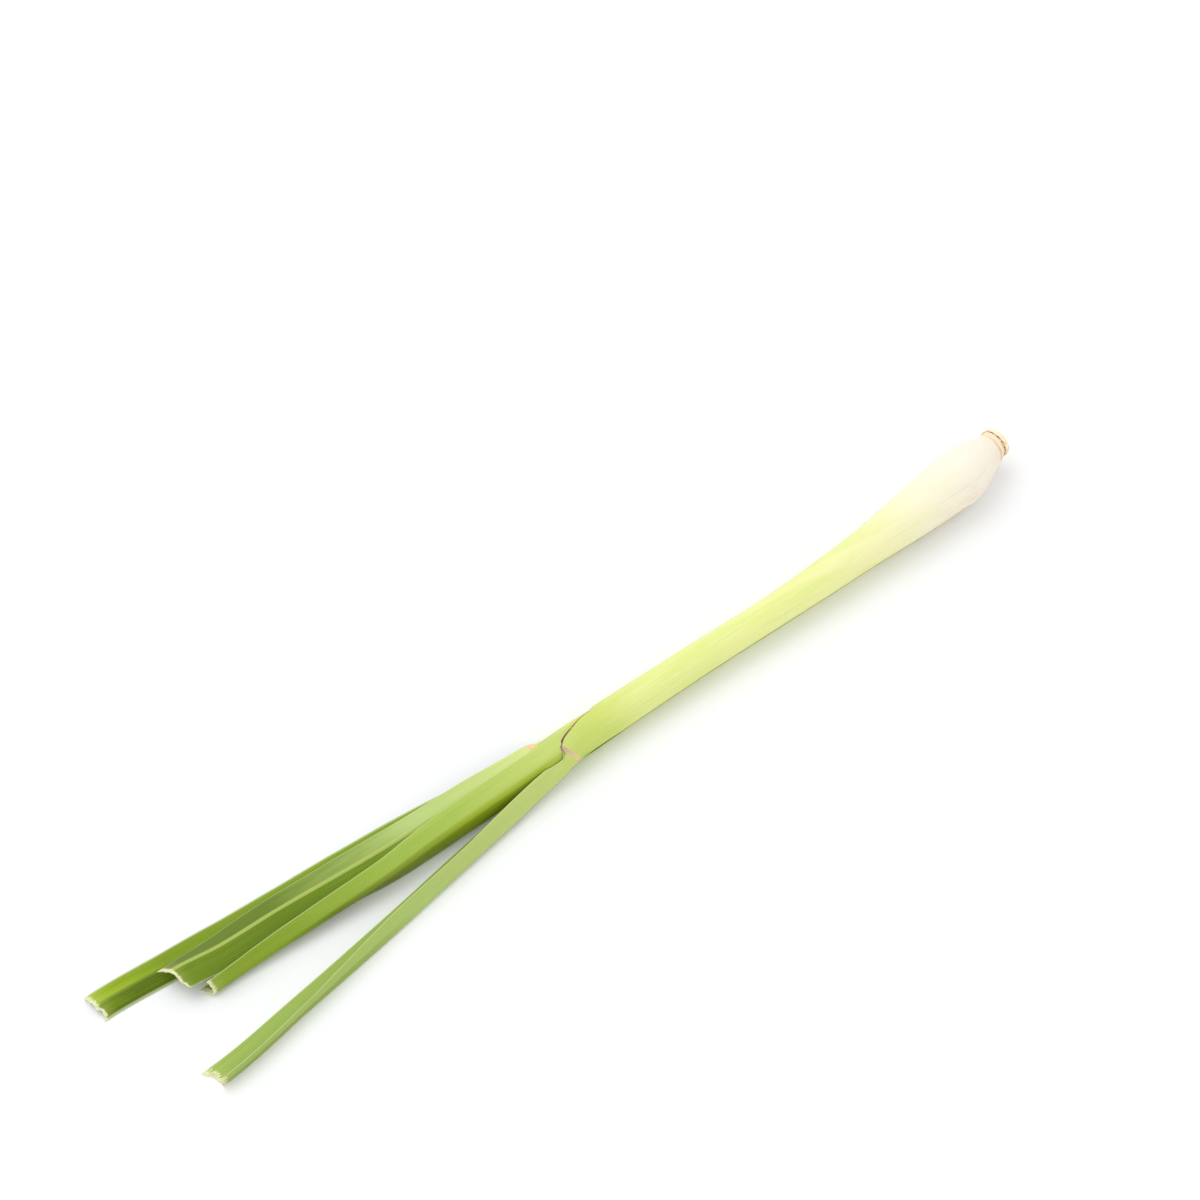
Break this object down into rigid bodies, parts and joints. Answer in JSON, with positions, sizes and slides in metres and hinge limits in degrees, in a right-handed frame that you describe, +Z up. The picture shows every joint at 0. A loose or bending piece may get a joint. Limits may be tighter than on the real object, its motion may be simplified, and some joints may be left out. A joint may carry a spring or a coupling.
{
  "type": "lemongrass stalk",
  "caption": "Cut lemongrass stalk lying down: pale swollen root end, slender rolled stem and green folded leaf blades spreading from the collar to blunt cut ends.",
  "frame": {"origin": "middle of the stalk's footprint, on the surface it lies on", "axes": "+X along the stem towards the root end, +Z up, and the lowest leaf's blade spreads to +Y"},
  "size_m": [0.397, 0.056, 0.0217],
  "materials": {
    "root_stub": "dry cut plant fibre, cream with a tan rim",
    "outer_leaf_skin": "fresh leaf, fine parallel ribs, satin",
    "second_leaf_skin": "fresh leaf, cream at the bulb to pale yellow-green, satin",
    "third_leaf_skin": "fresh leaf, fine parallel ribs, satin",
    "inner_leaf_skin": "fresh leaf, fine parallel ribs and a pale midrib, satin"
  },
  "bodies": {
    "root": {"root_plate": "root_stub", "outer_leaf": "outer_leaf_skin", "second_leaf": "second_leaf_skin", "third_leaf": "third_leaf_skin", "inner_leaf": "inner_leaf_skin"}
  },
  "joints": []
}
